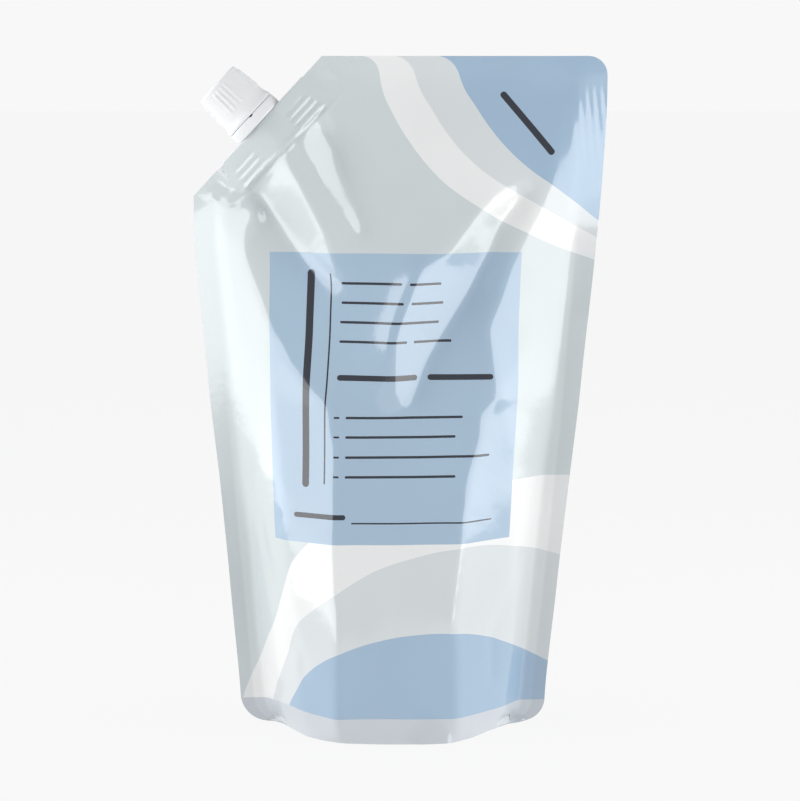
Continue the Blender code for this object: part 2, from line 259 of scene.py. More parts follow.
def wander(seed, wave_x, wave_z, count=9):
    """Slow, even waves that never repeat inside the pack."""
    rng = np.random.RandomState(seed)
    out = np.zeros_like(XX)
    for _ in range(count):
        kx = (0.6 + 0.8 * rng.rand()) * math.tau / wave_x * rng.choice([-1, 1])
        kz = (0.6 + 0.8 * rng.rand()) * math.tau / wave_z
        out += np.sin(kx * XX + kz * ZZ + math.tau * rng.rand())
    return out / math.sqrt(count)


def ridge_line(points, width, height):
    """A rounded ridge or groove along a line of points."""
    best = np.full(XX.shape, 1e9)
    for (x0, z0), (x1, z1) in zip(points, points[1:]):
        dx, dz = x1 - x0, z1 - z0
        t = np.clip(((XX - x0) * dx + (ZZ - z0) * dz) / (dx * dx + dz * dz), 0, 1)
        best = np.minimum(best, np.hypot(XX - x0 - t * dx, ZZ - z0 - t * dz))
    return height * np.exp(-(best / width) ** 2)


def even_edges(h, a, b):
    """Takes the steps of the grid out of the film beside the side seals."""
    t = np.linspace(-0.12, 1.12, 260)
    wide = np.zeros((len(GZ), len(t)))
    for j in range(len(GZ)):
        wide[j] = np.interp(a[j, 0] + t * (b[j, 0] - a[j, 0]), GX, h[j])
    n = 14
    k = np.exp(-0.5 * (np.arange(-n, n + 1) * STEP / 4.5) ** 2)
    k /= k.sum()
    padded = np.pad(wide, ((n, n), (0, 0)), mode="edge")
    soft = sum(w * padded[i:i + len(GZ)] for i, w in enumerate(k))
    out = h.copy()
    for j in range(len(GZ)):
        tt = (GX - a[j, 0]) / (b[j, 0] - a[j, 0])
        s = np.interp(tt, t, soft[j])
        left = np.clip((0.13 - tt) / 0.06, 0, 1) * np.clip((170 - GZ[j]) / 8, 0, 1)
        right = np.clip((tt - 0.87) / 0.06, 0, 1) * np.clip((214 - GZ[j]) / 6, 0, 1)
        w = np.maximum(left, right) * np.clip((GZ[j] - 3.0) / 12.0, 0, 1)
        out[j] = h[j] * (1 - w) + s * w
    return out


def panel(front=True):
    data = base_lens()
    xl, xr = left_x(ZZ), right_x(ZZ)
    slope_z = np.gradient(np.interp(GZ, DEPTH_Z, DEPTH_D), STEP)
    slope_z = blur(np.repeat(slope_z[:, None], len(GX), 1), 6.0)
    p = np.gradient(data, STEP, axis=1)
    q = slope_z * np.clip(data / np.maximum(1.0, np.interp(ZZ, DEPTH_Z, DEPTH_D)), 0, 1)
    wp = np.full(XX.shape, 0.12)
    wq = np.full(XX.shape, 0.12)
    fx = XX
    if not front:
        fx = -XX * np.where(XX > 0, 54.0 / 61.0, 1.0) - 2.0
    def put(poly, ps, w, qs=None, wqs=0.1, own=False):
        m = inside(poly, XX if own or front else fx, ZZ)
        sign = 1.0 if (front or own) else -1.0
        p[m] = (ps[m] if isinstance(ps, np.ndarray) else ps) * sign
        wp[m] = w
        if qs is not None:
            q[m] = qs[m] if isinstance(qs, np.ndarray) else qs
        wq[m] = wqs
    centre = (F_TOP[::-1] + [(-53.0, 165.0), (-49.0, 176.0), (-40.0, 165.0),
              (-22.0, 150.0), (-12.0, 166.0), (-20.0, 200.0), (-15.0, 214.0),
              (55.0, 214.0), (50.0, 184.0), (42.0, 172.0), (30.0, 147.0),
              (29.2, 136.8), (33.6, 113.2)] + DC_RIGHT + F_RIGHT[::-1])
    put(centre, 0.0, 0.22, slope_z, 0.25)
    left = L_BRIGHT + L_LOW + L_INNER[::-1]
    put(left, table(ZZ, [(20, 1.95), (45, 1.95), (66, 1.75), (94, 1.23),
                         (130, 0.80), (150, 0.68), (170, 0.6)]), 1.5)
    f = F_TOP + F_RIGHT + L_LOW[::-1]
    put(f, table(ZZ, [(10, 1.3), (40, 1.0), (66, 0.68), (94, 0.6),
                      (115, 0.55)]), 1.5, slope_z, 0.3)
    g = DC_RIGHT + [(33.0, 0.0), (38.6, 29.8), (38.1, 99.3), (33.6, 113.2)]
    put(g, -table(ZZ, [(10, 1.3), (40, 1.1), (66, 1.0), (94, 0.8),
                       (105, 0.7)]), 1.0, slope_z, 0.3)
    c = C_EDGE + C_LEFT
    put(c, -table(ZZ, [(20, 1.9), (45, 1.8), (66, 1.55), (94, 1.1),
                       (130, 0.8), (162, 0.55), (185, 0.5)]), 1.0)
    put(A_FACE, -0.66, 3.0, 0.05, 0.6)
    put(E1_FACE, 0.70, 4.0, 0.3, 1.0, own=True)
    put(E2_FACE, -0.78, 6.0, -0.3, 1.0, own=True)
    p = blur(p, 1.0)
    q = blur(q, 1.6)
    wp = blur(wp, 0.8)

    seal_l = SEAL + 1.5 * np.clip((30 - ZZ) / 30, 0, 1)
    seal_r = np.interp(ZZ, [0, 12, 40, 90, 130, 165, 185, 228],
                       [9.5, 9.0, 9.3, 9.6, 8.6, 8.3, 8.0, 8.0])
    free = ((XX > xl + seal_l) & (XX < xr - seal_r)
            & (ZZ < PACK_H - TOP_SEAL))
    in_canoe = (NN > -11.6) & (np.abs(EE) < 22.5)
    free &= ((NN < -SEAL) & ~in_canoe)
    fixed = ~free
    value = np.zeros_like(XX)
    value[in_canoe & (NN < 1.5)] = canoe_half(EE[in_canoe & (NN < 1.5)])
    fixed[0, :] = True
    rx, rd = zip(*RIM)
    value[0, :] = np.interp(GX, rx, rd, left=0.0, right=0.0)
    h = solve((p, wp, q, wq), data, 0.0016, fixed, value)
    h = np.maximum(h, 0.0)
    # folds sharper than the solved facets
    loose = np.clip(h / 6.0, 0, 1) * np.clip((ZZ - 4) / 10.0, 0, 1)
    if front:
        h += loose * ridge_line([(-49.6, 88.1), (-50.0, 81.8), (-47.6, 71.1),
                                 (-44.9, 57.7), (-42.4, 47.8)], 1.4, -0.9)
        h += loose * ridge_line([(-37.2, 40.4), (-35.5, 33.1), (-33.0, 28.1),
                                 (-32.0, 20.7)], 1.5, -0.8)
        h += loose * ridge_line([(-35.5, 33.1), (-37.6, 25.3),
                                 (-42.0, 13.8)], 1.5, -0.9)
        h += loose * ridge_line([(41.9, 61.8), (39.8, 51.7), (36.3, 43.5),
                                 (32.8, 37.3), (30.8, 33.6), (31.1, 27.6),
                                 (30.8, 18.6)], 1.4, -0.7)
    h += loose * 0.10 * wander(3 if front else 8, 26.0, 70.0)
    h += loose * 0.018 * wander(4 if front else 9, 11.0, 30.0)
    h = even_edges(h, xl + seal_l, xr - seal_r)
    h = blur(h, 0.75)
    # the film over the welded base of the spout, with its pressed ribs
    side = (np.clip((np.abs(EE) - 7.6) / 1.0, 0, 1)
            * np.clip((19.5 - np.abs(EE) - 0.25 * (NN + 11)) / 1.2, 0, 1))
    band = np.clip((NN + 11.6) / 0.5, 0, 1) * np.clip((-3.9 - NN) / 0.5, 0, 1)
    h += 0.34 * np.sin(math.tau * (NN + 11.4) / 2.45) * side * band
    # the lower edge of the base shows as a step right across it
    h += (0.55 * np.exp(-((NN + 11.3) / 0.55) ** 2)
          - 0.60 * np.exp(-((NN + 12.5) / 0.6) ** 2)) * (np.abs(EE) < 19.5)
    # the outline that the welding tool pressed round the base
    ring = np.hypot(np.maximum(np.abs(EE) - 24.6, 0.0),
                    np.maximum(-NN - 9.0, 0.0))
    h += 0.30 * np.exp(-((ring - 4.7) / 0.6) ** 2) * (NN < -4.0) * (np.abs(EE) > 17)
    return h


# The side seals aren't flat: the left one is bent back below the slanting
# edge, and the right one near the top.
BEND_L = [(45, 0.0), (66, 0.12), (85, 0.30), (122, 0.38), (138, 0.45), (150, 0.48),
          (170, 0.50), (177, 0.42), (184, 0.24), (194, 0.0)]
BEND_R = [(140, 0.0), (165, 0.22), (180, 0.50), (200, 0.52), (210, 0.34),
          (228, 0.22)]


def seal_bend():
    xl, xr = left_x(ZZ), right_x(ZZ)
    left = np.interp(ZZ, *zip(*BEND_L)) * np.clip(xl + 10.5 - XX, 0.0, 13.0)
    right = np.interp(ZZ, *zip(*BEND_R)) * np.clip(XX - xr + 10.0, 0.0, 13.0)
    return blur(left + right, 1.5)


def pucker():
    """Fine upright tucks in the sealed film."""
    right = (np.clip((XX - 57.5) / 4.0, 0, 1) * np.clip((ZZ - 188.0) / 12.0, 0, 1)
             * np.clip((219.0 - ZZ) / 8.0, 0, 1))
    return 0.10 * np.sin(math.tau * (XX + 0.10 * ZZ) / 2.6) * right


def sample(grid, x, z):
    fx = np.clip((np.asarray(x) - GX[0]) / STEP, 0, len(GX) - 1.001)
    fz = np.clip((np.asarray(z) - GZ[0]) / STEP, 0, len(GZ) - 1.001)
    i, j = fx.astype(int), fz.astype(int)
    a, b = fx - i, fz - j
    return ((grid[j, i] * (1 - a) + grid[j, i + 1] * a) * (1 - b)
            + (grid[j + 1, i] * (1 - a) + grid[j + 1, i + 1] * a) * b)


def print_u(grid):
    """Flat-film position across the panel, from -70 to 70."""
    g = np.gradient(blur(grid, 1.6), STEP, axis=1)
    ds = np.sqrt(1 + np.minimum(g * g, 6.0))
    run = np.zeros_like(grid)
    run[:, 1:] = np.cumsum(0.5 * (ds[:, 1:] + ds[:, :-1]) * STEP, axis=1)
    k = int(180.5 / STEP)
    ends = []
    for line in (left_x(np.minimum(GZ, 180.5)), right_x(GZ)):
        t = np.clip((line - GX[0]) / STEP, 0, len(GX) - 1.001)
        i = t.astype(int)
        j = np.arange(len(GZ))
        ends.append(run[j, i] * (1 - (t - i)) + run[j, i + 1] * (t - i))
    total = ends[1] - ends[0]
    total = np.where(np.arange(len(GZ)) > k, total[k], total)
    u = 70.0 - (ends[1][:, None] - run) * (140.0 / total)[:, None]
    return u * np.interp(ZZ, [0, 66, 162, 228], [0.96, 0.963, 0.995, 0.995])


MIDDLE = seal_bend()
H_FRONT, H_BACK = panel(True), panel(False)
U_FRONT, U_BACK = print_u(H_FRONT), print_u(H_BACK)
H_FRONT = H_FRONT + FILM_T / 2 - MIDDLE + pucker()
H_BACK = H_BACK + FILM_T / 2 + MIDDLE - pucker()
# [/shape]


# ---------------------------------------------------------- material helpers
class Nodes:
    """Short names for the nodes that the materials are made of."""

    def __init__(self, name):
        self.mat = bpy.data.materials.new(name)
        self.mat.use_nodes = True
        self.tree = self.mat.node_tree
        self.bsdf = self.tree.nodes["Principled BSDF"]

    def add(self, kind, **values):
        node = self.tree.nodes.new(kind)
        for key, value in values.items():
            setattr(node, key, value)
        return node

    def link(self, a, b):
        self.tree.links.new(a, b)

    def math(self, op, a, b=None, c=None, clamp=False):
        node = self.add("ShaderNodeMath", operation=op, use_clamp=clamp)
        for i, v in enumerate((a, b, c)):
            if v is None:
                continue
            if isinstance(v, (int, float)):
                node.inputs[i].default_value = v
            else:
                self.link(v, node.inputs[i])
        return node.outputs[0]

    def mix(self, fac, a, b):
        node = self.add("ShaderNodeMix", data_type="RGBA")
        for socket, v in ((node.inputs["Factor"], fac), (node.inputs[6], a),
                          (node.inputs[7], b)):
            if isinstance(v, tuple):
                socket.default_value = (*v, 1.0)
            elif isinstance(v, (int, float)):
                socket.default_value = v
            else:
                self.link(v, socket)
        return node.outputs[2]

    def noise(self, vector, scale, detail=2.0, rough=0.5):
        node = self.add("ShaderNodeTexNoise")
        node.inputs["Scale"].default_value = scale
        node.inputs["Detail"].default_value = detail
        node.inputs["Roughness"].default_value = rough
        self.link(vector, node.inputs["Vector"])
        return node.outputs["Fac"]

    def span(self, value, a, b, c=0.0, d=1.0):
        node = self.add("ShaderNodeMapRange")
        for i, v in enumerate((a, b, c, d)):
            node.inputs[i + 1].default_value = v
        self.link(value, node.inputs[0])
        return node.outputs[0]

    def bump(self, height, strength, distance):
        node = self.add("ShaderNodeBump")
        node.inputs["Strength"].default_value = strength
        node.inputs["Distance"].default_value = distance
        self.link(height, node.inputs["Height"])
        self.link(node.outputs[0], self.bsdf.inputs["Normal"])


def linear(r, g, b):
    def one(v):
        v /= 255.0
        return v / 12.92 if v <= 0.04045 else ((v + 0.055) / 1.055) ** 2.4
    return tuple(one(v) for v in (r, g, b))


# ------------------------------------------------------------ pouch material
def film_material(front):
    n = Nodes("film_front_print" if front else "film_back_print")
    uv = n.add("ShaderNodeUVMap", uv_map="print")
    sep = n.add("ShaderNodeSeparateXYZ")
    n.link(uv.outputs[0], sep.inputs[0])
    u = n.math("MULTIPLY_ADD", sep.outputs[0], 200.0, -100.0)
    v = n.math("MULTIPLY", sep.outputs[1], 250.0)

    def edge(socket, points, out_lo, out_hi):
        """A smooth line through the points, as a function of socket."""
        xs, ys = zip(*points)
        t = n.span(socket, xs[0], xs[-1])
        node = n.add("ShaderNodeFloatCurve")
        n.link(t, node.inputs["Value"])
        curve = node.mapping.curves[0]
        pts = [((x - xs[0]) / (xs[-1] - xs[0]), (y - out_lo) / (out_hi - out_lo))
               for x, y in points]
        while len(curve.points) < len(pts):
            curve.points.new(0.5, 0.5)
        for p, (a, b) in zip(curve.points, pts):
            p.location = (a, b)
            p.handle_type = "AUTO"
        node.mapping.update()
        return n.span(node.outputs[0], 0.0, 1.0, out_lo, out_hi)

    def stroke(u0, v0, u1, v1, r):
        length = math.hypot(u1 - u0, v1 - v0)
        du, dv = (u1 - u0) / length, (v1 - v0) / length
        a = n.math("SUBTRACT", u, u0)
        b = n.math("SUBTRACT", v, v0)
        along = n.math("MULTIPLY_ADD", a, du, n.math("MULTIPLY", b, dv))
        off = n.math("MULTIPLY_ADD", a, -dv, n.math("MULTIPLY", b, du))
        past = n.math("SUBTRACT", along,
                      n.math("MINIMUM", n.math("MAXIMUM", along, 0.0), length))
        d = n.math("MULTIPLY_ADD", off, off, n.math("MULTIPLY", past, past))
        return n.math("LESS_THAN", d, r * r)

    colour = GREEN_GREY
    for kind, data, ink, above in FIELDS:
        if kind == "u_of_v":
            mask = n.math("GREATER_THAN", u, edge(v, data, -20.0, 100.0))
            mask = n.math("MULTIPLY", mask, n.math("GREATER_THAN", v, above))
        elif kind == "v_of_u":
            mask = n.math("LESS_THAN", v, edge(u, data, 0.0, 80.0))
            mask = n.math("MULTIPLY", mask, n.math("GREATER_THAN", u, data[0][0]))
        elif kind == "white_low":
            low = n.math("GREATER_THAN", u, edge(v, data, -80.0, 0.0))
            low = n.math("MULTIPLY", low, n.math("LESS_THAN", v, above))
            high = n.math("MULTIPLY", n.math("GREATER_THAN", u, 0.0),
                          n.math("LESS_THAN", v, 85.6))
            mask = n.math("MAXIMUM", low, high)
        else:
            u0, u1, v0, v1 = data
            mask = n.math("MULTIPLY",
                          n.math("MULTIPLY", n.math("GREATER_THAN", u, u0),
                                 n.math("LESS_THAN", u, u1)),
                          n.math("MULTIPLY", n.math("GREATER_THAN", v, v0),
                                 n.math("LESS_THAN", v, v1)))
        colour = n.mix(mask, colour, ink)
    ink = None
    for line in (STROKES_FRONT if front else STROKES_BACK):
        m = stroke(*line)
        ink = m if ink is None else n.math("MAXIMUM", ink, m)
    colour = n.mix(ink, colour, DARK_INK)
    # painted shade: the side-seal edges are mixed a little towards a dark grey-blue,
    # the left seal more so lower down, to stand in for the shade on the flat seals
    right = n.span(u, 62.5, 63.5)
    left = n.math("MULTIPLY", n.span(u, -62.5, -63.5), n.span(v, 130.0, 80.0))
    painted_seal_shade = n.math("MAXIMUM", n.math("MULTIPLY", right, n.span(v, 178.0, 160.0)),
                    left)
    colour = n.mix(n.math("MULTIPLY", painted_seal_shade, 0.16), colour,
                   linear(120, 130, 142))
    # ink density wanders a little; the darker seal edges above are painted shade
    tex = n.add("ShaderNodeTexCoord").outputs["Object"]
    cloud = n.noise(tex, 38.0, 3.0)
    shade = n.span(cloud, 0.3, 0.7, 0.985, 1.015)
    hsv = n.add("ShaderNodeHueSaturation")
    n.link(shade, hsv.inputs["Value"])
    n.link(colour, hsv.inputs["Color"])
    n.link(hsv.outputs[0], n.bsdf.inputs["Base Color"])
    n.bsdf.inputs["IOR"].default_value = 1.85
    rough = n.noise(tex, 90.0, 2.0)
    n.link(n.span(rough, 0.3, 0.7, 0.10, 0.15), n.bsdf.inputs["Roughness"])
    fine = n.noise(tex, 420.0, 2.0)
    n.bump(fine, 0.10, 0.0003)
    return n.mat


GREEN_GREY = linear(199, 207, 209)
WHITE_INK = linear(229, 230, 230)
GREY_INK = linear(207, 212, 214)
BLUE_INK = linear(152, 177, 200)
LABEL_BLUE = linear(161, 184, 204)
DARK_INK = linear(22, 27, 42)
CLEAR = linear(193, 199, 205)

# The print: fields of plain colour in flat-film millimetres, u across from
# -70 to 70 and v up.  A "u_of_v" field lies on the far side of its edge line,
# a "v_of_u" field lies below it, and a bar is a rounded stroke.
FIELDS = [
    ("u_of_v", [(150, 95), (159.1, 69.4), (165.5, 52.1), (169.1, 44.1),
                (172.8, 36.2), (177.4, 27.6), (184.0, 18.4), (190.9, 11.5),
                (198.9, 5.2), (206.6, 0.4), (217.9, -4.4), (229, -4.6)],
     WHITE_INK, 150.0),
    ("u_of_v", [(158, 86), (166.6, 69.6), (172.1, 59.2), (177.8, 48.6),
                (183.2, 38.7), (186.3, 33.6), (192.9, 25.3), (200.6, 18.3),
                (209.9, 12.2), (217.9, 7.8), (229, 5.6)],
     GREY_INK, 158.0),
    ("u_of_v", [(163, 86), (172.0, 70.0), (178.8, 61.0), (184.8, 52.2),
                (189.8, 45.0), (196.5, 37.5), (203.5, 31.5), (210.9, 26.5),
                (217.9, 22.3), (229, 19.9)],
     BLUE_INK, 163.0),
    ("white_low", [(0, -69.5), (7.8, -66.7), (12.7, -64.8), (19.3, -61.5),
                   (29.0, -55.3), (37.6, -47.8), (45.0, -42.9),
                   (52.2, -38.6), (58.0, -35.5), (62.3, -32.0),
                   (66.2, -27.9), (70.0, -22.0)],
     WHITE_INK, 67.0),
    ("v_of_u", [(-62, 0), (-54.1, 9.2), (-51.3, 14.2), (-47.2, 19.4),
                (-41.4, 26.4), (-34.3, 37.5), (-26.6, 43.7), (-17.5, 49.8),
                (-10.4, 54.6), (-3.3, 58.5), (7.4, 61.9), (18.4, 64.3),
                (30.0, 64.9), (48.9, 62.4), (61.0, 59.8), (75.0, 55.5)],
     GREY_INK, None),
    ("v_of_u", [(-49, 0), (-42.8, 9.0), (-35.7, 16.2), (-31.5, 20.8),
                (-22.4, 27.1), (-13.7, 31.3), (-2.5, 34.6), (8.2, 36.3),
                (19.4, 36.6), (35.1, 33.8), (47.6, 29.6), (59.2, 25.0),
                (75.0, 16.5)],
     BLUE_INK, None),
    ("v_of_u", [(-75, 8.0), (-58.8, 8.3), (-44.0, 8.8), (-29.3, 8.4),
                (-10.0, 8.5), (11.8, 8.2), (36.7, 7.5), (58.0, 7.4),
                (75.0, 7.6)], CLEAR, None),
    ("box", (-43.3, 43.5, 66.3, 162.3), LABEL_BLUE, None),
]
STROKES_FRONT = [
    (-29.6, 86.0, -29.6, 155.4, 1.25), (-22.6, 86.4, -22.6, 155.3, 0.28),
    (-18.6, 152.4, 1.0, 152.4, 0.42), (4.4, 152.4, 15.0, 152.4, 0.42),
    (-18.6, 146.0, 1.6, 146.0, 0.42), (5.0, 146.0, 16.2, 146.0, 0.42),
    (-18.9, 139.6, 15.0, 139.6, 0.42),
    (-18.9, 133.2, 3.4, 133.2, 0.42), (6.8, 133.2, 19.4, 133.2, 0.42),
    (-18.4, 121.3, 7.2, 121.3, 0.95), (12.6, 121.3, 32.2, 121.3, 0.95),
    (-19.2, 108.2, -17.9, 108.2, 0.32), (-15.2, 108.2, 22.4, 108.2, 0.42),
    (-19.2, 101.8, -17.9, 101.8, 0.32), (-15.2, 101.8, 20.0, 101.8, 0.42),
    (-19.2, 95.2, -17.9, 95.2, 0.32), (-15.2, 95.2, 32.2, 95.2, 0.42),
    (-19.2, 88.7, -17.9, 88.7, 0.32), (-15.2, 88.7, 19.8, 88.7, 0.42),
    (-32.9, 75.4, -16.0, 75.4, 0.85), (-13.0, 73.4, 34.7, 73.4, 0.26),
    (35.6, 214.8, 51.6, 195.8, 1.1),
]
STROKES_BACK = [(-36.0, 152.0 - 6.2 * k, (36.0, 33.0, 35.0, 12.0)[k % 4],
                 152.0 - 6.2 * k, 0.36) for k in range(12)]


# --------------------------------------------------------------- pouch film
def rows():
    z = [0.0, 0.25, 0.6, 1.05, 1.6, 2.3, 3.1, 4.0, 5.0, 6.1, 7.3, 8.6]
    while z[-1] < 168.0:
        z.append(z[-1] + 1.0)
    while z[-1] < 219.5:
        z.append(z[-1] + 0.66)
    top = [6.5, 5.4, 4.4, 3.5, 2.7, 2.0, 1.4, 0.9, 0.5, 0.2, 0.0]
    z = [a for a in z if a < PACK_H - 7.2] + [PACK_H - a for a in top]
    return np.array(z)


def columns(count=180):
    s = np.linspace(0.0, 1.0, count + 1)
    return s


def film():
    zs, ss = rows(), columns()
    xl, xr = left_x(zs), right_x(zs)
    X = xl[:, None] + (xr - xl)[:, None] * ss[None, :]
    Z = np.repeat(zs[:, None], len(ss), 1)
    hf = sample(H_FRONT, X, Z)
    hb = sample(H_BACK, X, Z)
    uf, ub = sample(U_FRONT, X, Z), sample(U_BACK, X, Z)
    # the two films meet evenly round the outer edge
    nj, ni = X.shape
    bm = bmesh.new()
    front = [[bm.verts.new((X[j, i], -hf[j, i], Z[j, i])) for i in range(ni)]
             for j in range(nj)]
    back = [[bm.verts.new((X[j, i], hb[j, i], Z[j, i])) for i in range(ni)]
            for j in range(nj)]
    info = {}
    for j in range(nj):
        for i in range(ni):
            info[front[j][i]] = (uf[j, i], Z[j, i], i / (ni - 1), j / (nj - 1))
            info[back[j][i]] = (ub[j, i], Z[j, i], i / (ni - 1), j / (nj - 1))
    faces = {0: [], 1: [], 2: []}

    def quad(kind, *vs):
        faces[kind].append(bm.faces.new(vs))

    for j in range(nj - 1):
        for i in range(ni - 1):
            quad(0, front[j][i], front[j][i + 1], front[j + 1][i + 1],
                 front[j + 1][i])
            quad(1, back[j][i + 1], back[j][i], back[j + 1][i],
                 back[j + 1][i + 1])
        quad(0, back[j][0], front[j][0], front[j + 1][0], back[j + 1][0])
        quad(0, front[j][ni - 1], back[j][ni - 1], back[j + 1][ni - 1],
             front[j + 1][ni - 1])
    for i in range(ni - 1):
        quad(0, front[nj - 1][i], front[nj - 1][i + 1], back[nj - 1][i + 1],
             back[nj - 1][i])
    # underside: a standing rim of film, and the gusset drawn up inside it
    rim_t, rim_h, sag, inner = 0.45, 4.5, 1.5, 14
    up = sample(H_FRONT, X[0], 2.5), sample(H_FRONT, X[0], 5.0)
    ub_ = sample(H_BACK, X[0], 2.5), sample(H_BACK, X[0], 5.0)
    under = []
    for i in range(ni):
        x, f, b = X[0, i], hf[0, i], hb[0, i]
        f1 = min(f, up[0][i]) - rim_t
        f2 = min(f1, up[1][i] - rim_t) - 0.15
        b1 = min(b, ub_[0][i]) - rim_t
        b2 = min(b1, ub_[1][i] - rim_t) - 0.15
        line = []
        if min(f2, b2) > 1.2:
            line = [(x, b - rim_t, 0.0), (x, b1, 2.5), (x, b2, rim_h)]
            for k in range(1, inner):
                t = k / inner
                line.append((x, b2 + (-f2 - b2) * t, rim_h - (rim_h - sag)
                             * math.sin(math.pi * t) ** 0.7))
            line += [(x, -f2, rim_h), (x, -f1, 2.5), (x, -f + rim_t, 0.0)]
        else:
            count = inner + 5
            for k in range(count):
                t = (k + 1) / (count + 1)
                line.append((x, b + (-f - b) * t, 0.0))
        under.append([bm.verts.new(c) for c in line])
        for vert in under[-1]:
            info[vert] = (x, 0.0, i / (ni - 1), 0.0)
    for i in range(ni - 1):
        a = [back[0][i]] + under[i] + [front[0][i]]
        b = [back[0][i + 1]] + under[i + 1] + [front[0][i + 1]]
        for k in range(len(a) - 1):
            quad(2, a[k], b[k], b[k + 1], a[k + 1])
    a = [back[0][0]] + under[0] + [front[0][0]]
    b = [back[0][-1]] + under[-1] + [front[0][-1]]
    for strip in (a, b[::-1]):
        faces[2].append(bm.faces.new(strip))
    uvl = bm.loops.layers.uv.new("print")
    bake = bm.loops.layers.uv.new("OFBake")
    height = PACK_H / 250.0
    for kind, group in faces.items():
        for f in group:
            f.material_index = {0: 0, 1: 1, 2: 2}[kind]
            for loop in f.loops:
                w = info[loop.vert]
                loop[uvl].uv = ((w[0] + 100.0) / 200.0, w[1] / 250.0)
                x, y, z = loop.vert.co
                if kind == 2:
                    loop[bake].uv = (0.02 + (x + 70) / 300.0,
                                     0.985 - (y + 40) / 380.0)
                else:
                    loop[bake].uv = (0.01 + 0.5 * kind + (w[0] + 71) / 300.0,
                                     0.01 + w[1] / 310.0)
    for f in bm.faces:
        f.smooth = True
    bmesh.ops.recalc_face_normals(bm, faces=bm.faces)
    for vert in bm.verts:
        vert.co *= U
    mesh = bpy.data.meshes.new("film_pouch")
    bm.to_mesh(mesh)
    bm.free()
    mesh.set_sharp_from_angle(angle=math.radians(50))
    obj = bpy.data.objects.new("film_pouch", mesh)
    bpy.context.collection.objects.link(obj)
    obj.data.materials.append(film_material(True))
    obj.data.materials.append(film_material(False))
    obj.data.materials.append(gusset_material())
    return obj


def gusset_material():
    n = Nodes("film_gusset")
    tex = n.add("ShaderNodeTexCoord").outputs["Object"]
    cloud = n.noise(tex, 60.0, 3.0)
    n.link(n.mix(cloud, linear(196, 203, 207), linear(212, 217, 220)),
           n.bsdf.inputs["Base Color"])
    n.bsdf.inputs["IOR"].default_value = 1.5
    n.bsdf.inputs["Roughness"].default_value = 0.2
    n.bump(n.noise(tex, 300.0), 0.1, 0.0003)
    return n.mat


pouch = film()
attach(pouch, "pack")
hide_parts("pouch")


# ------------------------------------------------------- moulded plastics
def moulded(name, colour, rough=0.34, depth=0.0):
    n = Nodes(name)
    tex = n.add("ShaderNodeTexCoord").outputs["Object"]
    cloud = n.noise(tex, 55.0, 3.0)
    tint = tuple(v * 0.965 for v in colour)
    n.link(n.mix(cloud, tint, colour), n.bsdf.inputs["Base Color"])
    n.link(n.span(n.noise(tex, 160.0), 0.3, 0.7, rough - 0.04, rough + 0.05),
           n.bsdf.inputs["Roughness"])
    n.bsdf.inputs["IOR"].default_value = 1.5
    if depth:
        n.bsdf.inputs["Subsurface Weight"].default_value = depth
        n.bsdf.inputs["Subsurface Radius"].default_value = (1.0, 1.0, 1.0)
        n.bsdf.inputs["Subsurface Scale"].default_value = 0.0012
    n.bump(n.noise(tex, 900.0, 3.0), 0.12, 0.0001)
    return n.mat


CAP_WHITE = moulded("cap_white", linear(228, 229, 230), 0.38, 0.2)
BAND_WHITE = moulded("band_white", linear(228, 229, 231), 0.36, 0.2)
NATURAL = moulded("natural_polyethylene", linear(222, 226, 229), 0.3, 0.2)


def dress(node, mat):
    obj = frame["nodes"][node]
    if not obj.material_slots:
        obj.data.materials.append(mat)
    for slot in obj.material_slots:
        slot.material = mat


dress("spout", NATURAL)
dress("tamper_band", BAND_WHITE)
dress("cap", CAP_WHITE)
dress("pouch", NATURAL)

# The spout's own frame: e along the slanting edge, n out along its axis.
joint = [j for j in frame["record"]["behaviour"]["joints"]
         if j["name"] == "cap_turn"][0]
AX_N = Vector(joint["axis"]).normalized()
AX_P = Vector(joint["pos_m"])
AX_E = Vector((AX_N.z, 0.0, -AX_N.x))
SPOUT = Matrix(((AX_E.x, 0.0, AX_N.x, AX_P.x), (0.0, 1.0, 0.0, AX_P.y),
                (AX_E.z, 0.0, AX_N.z, AX_P.z), (0.0, 0.0, 0.0, 1.0)))


def finish_piece(bm, name, body, mat, slot, *nodes):
    bmesh.ops.remove_doubles(bm, verts=bm.verts, dist=1e-5)
    bmesh.ops.recalc_face_normals(bm, faces=bm.faces)
    for f in bm.faces:
        f.smooth = True
    bmesh.ops.transform(bm, matrix=SPOUT @ Matrix.Scale(U, 4), verts=bm.verts)
    mesh = bpy.data.meshes.new(name)
    bm.to_mesh(mesh)
    bm.free()
    mesh.set_sharp_from_angle(angle=math.radians(38))
    obj = bpy.data.objects.new(name, mesh)
    bpy.context.collection.objects.link(obj)
    obj.data.materials.append(mat)
    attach(obj, body)
    if nodes:
        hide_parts(*nodes)
    return obj


def turned(profile, segments, shape=None, closed=False):
    """A turned body from (radius, height) pairs, bent point by point."""
    bm = bmesh.new()
    rings = []
    for r, h in profile:
        if r <= 1e-6:
            rings.append([bm.verts.new((0, 0, h))])
            continue
        ring = []
        for k in range(segments):
            a = math.tau * k / segments
            rr, hh = shape(r, h, a) if shape else (r, h)
            ring.append(bm.verts.new((rr * math.cos(a), rr * math.sin(a), hh)))
        rings.append(ring)
    pairs = list(zip(rings, rings[1:]))
    if closed:
        pairs.append((rings[-1], rings[0]))
    for a, b in pairs:
        for k in range(segments):
            m = (k + 1) % segments
            if len(a) == 1:
                bm.faces.new((a[0], b[k], b[m]))
            elif len(b) == 1:
                bm.faces.new((a[k], a[m], b[0]))
            else:
                bm.faces.new((a[k], a[m], b[m], b[k]))
    return bm


